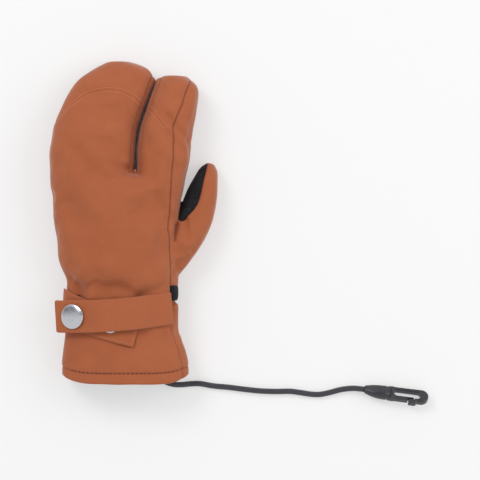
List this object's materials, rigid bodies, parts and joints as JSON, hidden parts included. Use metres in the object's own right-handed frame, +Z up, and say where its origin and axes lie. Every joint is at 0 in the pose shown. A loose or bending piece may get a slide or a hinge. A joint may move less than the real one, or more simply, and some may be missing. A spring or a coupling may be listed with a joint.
{
  "type": "three-finger winter mitten",
  "caption": "Padded softshell mitten for the left hand with a split index finger, black palm, snap-closed wrist strap, gathered cuff and a braided cord ending in a clip hook.",
  "frame": {"origin": "on the surface it lies on, under the middle of the palm", "axes": "+X across the palm towards the thumb, +Y from the hem to the fingertips, +Z up out of the back of the hand"},
  "size_m": [0.2843, 0.2593, 0.0426],
  "materials": {
    "softshell": "matte woven softshell",
    "palm_suede": "matte suede-like fabric with a fine pebble",
    "snap_metal": "satin silver",
    "cord_braid": "matte braided",
    "clip_plastic": "satin moulded"
  },
  "bodies": {
    "root": {"back_panel": "softshell", "pocket_tip": "softshell", "index_tip": "softshell", "index_side": "softshell", "slit_strip": "softshell", "palm_panel": "palm_suede", "thumb": "softshell", "thumb_grip": "palm_suede", "cuff_back": "softshell", "cuff_palm": "softshell", "strap": "softshell", "strap_tab": "softshell", "snap_cap": "snap_metal", "snap_socket": "snap_metal", "snap_stud": "snap_metal", "snap_stud_spare": "snap_metal", "cord": "cord_braid", "cord_anchor": "palm_suede", "hook_sleeve": "clip_plastic", "hook": "clip_plastic"}
  },
  "joints": []
}
